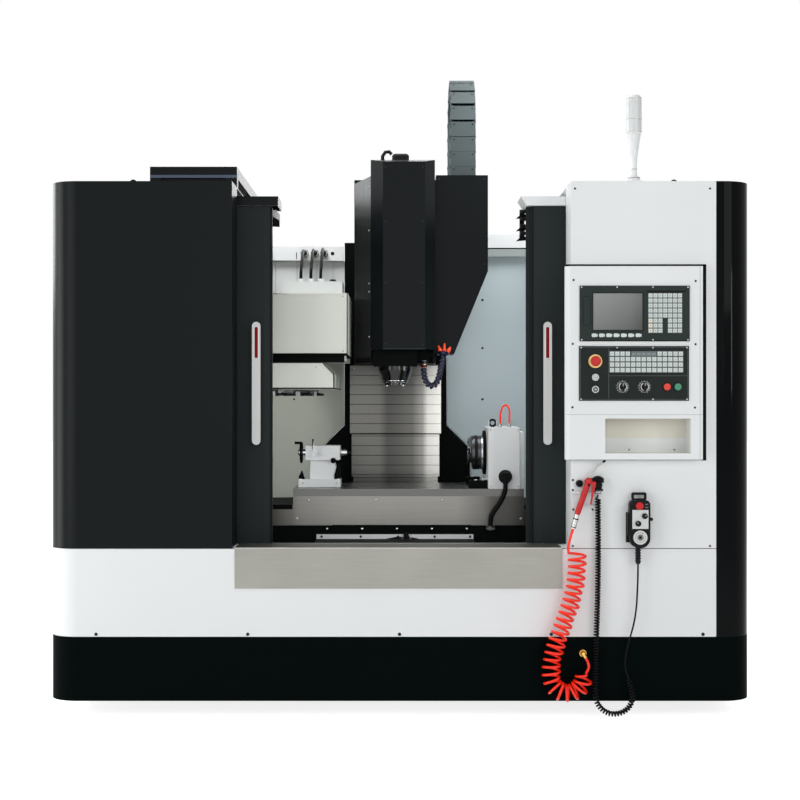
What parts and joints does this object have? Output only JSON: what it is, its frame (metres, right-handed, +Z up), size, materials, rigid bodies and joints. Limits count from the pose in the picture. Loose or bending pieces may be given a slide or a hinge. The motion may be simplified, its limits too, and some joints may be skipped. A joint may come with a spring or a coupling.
{
  "type": "vertical machining centre",
  "caption": "Enclosed vertical milling machine with sliding doors, moving table and head, tool carousel, control console, rotary table, air gun and hand pendant.",
  "frame": {"origin": "floor level, at the middle of the footprint measured without the free cords", "axes": "+Z up, +X to the operator's right, +Y from the doors towards the electrical cabinet"},
  "size_m": [2.824, 2.289, 2.802],
  "materials": {
    "cast_grey": "painted casting, satin grey-green",
    "black_paint": "fine-textured satin powder coat",
    "gloss_black": "high-gloss black",
    "white_paint": "satin white powder coat",
    "splash_paint": "satin pale grey-green",
    "cream_paint": "satin warm light grey",
    "stainless": "brushed along the length",
    "ground_steel": "fine ground",
    "bright_steel": "polished",
    "dark_plastic": "fine matt",
    "panel_grey": "matt film over sheet",
    "red_plastic": "smooth",
    "green_plastic": "smooth",
    "red_hose": "smooth polyurethane",
    "black_rubber": "matt cable jacket",
    "lamp_lens": "translucent milky",
    "glass": "clear laminated sheet"
  },
  "bodies": {
    "frame": {"bed": "cast_grey", "levelling_feet": "black_paint", "column": "white_paint", "base_skirt": "black_paint", "front_band": "white_paint", "door_sill": "stainless", "left_cabinet": "black_paint", "control_cabinet": "white_paint", "corner_cover": "gloss_black", "splash_walls": "splash_paint", "top_rails": "white_paint", "electrical_cabinet": "white_paint", "console_box": "white_paint", "control_panels": "panel_grey", "signal_lamp": "lamp_lens", "accessory_bracket": "white_paint", "pendant_body": "dark_plastic", "air_gun": "red_plastic", "magazine_box": "cream_paint", "z_shield_bottom": "stainless", "y_cover_front": "stainless", "air_lead": "red_hose", "air_coil": "red_hose", "pendant_lead": "black_rubber", "pendant_curly_cord": "black_rubber", "magazine_cables": "black_rubber"},
    "left_leaf": {"left_door": "black_paint", "left_window": "glass", "left_handle": "bright_steel"},
    "right_leaf": {"right_door": "black_paint", "right_window": "glass", "right_handle": "bright_steel"},
    "saddle_unit": {"saddle": "cast_grey"},
    "table_unit": {"table": "ground_steel", "table_apron": "stainless", "rotary_housing": "white_paint", "rotary_cable": "black_rubber", "rotary_air_loop": "red_hose", "tailstock_body": "white_paint"},
    "x_covers": {"x_cover_mid": "stainless"},
    "y_covers": {"y_cover_mid": "stainless"},
    "head": {"headstock": "cast_grey", "head_cover": "black_paint", "coolant_nozzles": "dark_plastic", "z_shield_top": "stainless"},
    "z_cover": {"z_shield_mid": "stainless"},
    "chain": {"cable_chain": "dark_plastic"},
    "spindle_shaft": {"spindle": "bright_steel"},
    "magazine": {"magazine_hood": "cream_paint"},
    "tool_carousel": {"carousel": "ground_steel"},
    "chuck": {"rotary_chuck": "bright_steel"},
    "quill": {"tailstock_quill": "ground_steel"},
    "handwheel": {"tailstock_handwheel": "black_paint"},
    "estop": {"console_estop": "red_plastic"},
    "feed_override": {"feed_knob": "dark_plastic"},
    "spindle_override": {"spindle_knob": "dark_plastic"},
    "cycle_start": {"start_button": "green_plastic"},
    "feed_hold": {"stop_button": "red_plastic"},
    "hand_dial": {"pendant_dial": "bright_steel"},
    "trigger": {"gun_lever": "red_plastic"}
  },
  "joints": [
    {"name": "left_door_slide", "type": "slide", "parent": "frame", "child": "left_leaf", "axis": [1, 0, 0], "range_m": [0, 0.535]},
    {"name": "right_door_slide", "type": "slide", "parent": "frame", "child": "right_leaf", "axis": [-1, 0, 0], "range_m": [0, 0.535]},
    {"name": "y_axis", "type": "slide", "parent": "frame", "child": "saddle_unit", "axis": [0, 1, 0], "range_m": [-0.22, 0.28]},
    {"name": "x_axis", "type": "slide", "parent": "saddle_unit", "child": "table_unit", "axis": [-1, 0, 0], "range_m": [-0.341, 0.459]},
    {"name": "x_cover_slide", "type": "slide", "parent": "saddle_unit", "child": "x_covers", "axis": [-1, 0, 0], "range_m": [-0.1706, 0.2296]},
    {"name": "y_cover_slide", "type": "slide", "parent": "frame", "child": "y_covers", "axis": [0, 1, 0], "range_m": [-0.1101, 0.1401]},
    {"name": "z_axis", "type": "slide", "parent": "frame", "child": "head", "axis": [0, 0, 1], "range_m": [-0.34, 0.16]},
    {"name": "z_cover_slide", "type": "slide", "parent": "frame", "child": "z_cover", "axis": [0, 0, 1], "range_m": [-0.1701, 0.0801]},
    {"name": "chain_slide", "type": "slide", "parent": "frame", "child": "chain", "axis": [0, 0, 1], "range_m": [-0.1701, 0.0801]},
    {"name": "spindle_spin", "type": "hinge", "parent": "head", "child": "spindle_shaft", "pos_m": [-0.022, -0.2975, 1.341], "axis": [0, 0, 1], "continuous": true},
    {"name": "magazine_slide", "type": "slide", "parent": "frame", "child": "magazine", "axis": [1, 0, 0], "range_m": [0, 0.365]},
    {"name": "carousel_spin", "type": "hinge", "parent": "magazine", "child": "tool_carousel", "pos_m": [-0.673, -0.2975, 1.311], "axis": [0, 0, 1], "continuous": true},
    {"name": "chuck_spin", "type": "hinge", "parent": "table_unit", "child": "chuck", "pos_m": [0.345, -0.3625, 1.04], "axis": [1, 0, 0], "continuous": true},
    {"name": "handwheel_spin", "type": "hinge", "parent": "table_unit", "child": "handwheel", "pos_m": [-0.44, -0.3625, 1.04], "axis": [1, 0, 0], "range_deg": [0, 2160]},
    {"name": "quill_slide", "type": "slide", "parent": "table_unit", "child": "quill", "axis": [1, 0, 0], "range_m": [0, 0.0301]},
    {"name": "estop_press", "type": "slide", "parent": "frame", "child": "estop", "axis": [0, 1, 0], "range_m": [0, 0.005]},
    {"name": "feed_knob_turn", "type": "hinge", "parent": "frame", "child": "feed_override", "pos_m": [0.883, -1.1095, 1.326], "axis": [0, 1, 0], "range_deg": [-120, 120]},
    {"name": "spindle_knob_turn", "type": "hinge", "parent": "frame", "child": "spindle_override", "pos_m": [0.97, -1.1095, 1.326], "axis": [0, 1, 0], "range_deg": [-120, 120]},
    {"name": "start_press", "type": "slide", "parent": "frame", "child": "cycle_start", "axis": [0, 1, 0], "range_m": [0, 0.004], "stiffness_N_per_m": 800},
    {"name": "stop_press", "type": "slide", "parent": "frame", "child": "feed_hold", "axis": [0, 1, 0], "range_m": [0, 0.004], "stiffness_N_per_m": 800},
    {"name": "pendant_dial_spin", "type": "hinge", "parent": "frame", "child": "hand_dial", "pos_m": [0.952, -1.1145, 0.729], "axis": [0, 1, 0], "continuous": true},
    {"name": "trigger_press", "type": "hinge", "parent": "frame", "child": "trigger", "pos_m": [0.773, -1.0965, 0.941], "axis": [0, 1, 0], "range_deg": [0, 8], "stiffness_Nm_per_rad": 1}
  ],
  "couplings": [
    {"joint": "x_cover_slide", "follows": "x_axis", "ratio": 0.5},
    {"joint": "y_cover_slide", "follows": "y_axis", "ratio": 0.5},
    {"joint": "z_cover_slide", "follows": "z_axis", "ratio": 0.5},
    {"joint": "chain_slide", "follows": "z_axis", "ratio": 0.5},
    {"joint": "quill_slide", "follows": "handwheel_spin", "m_per_rad": 0.00079577}
  ]
}
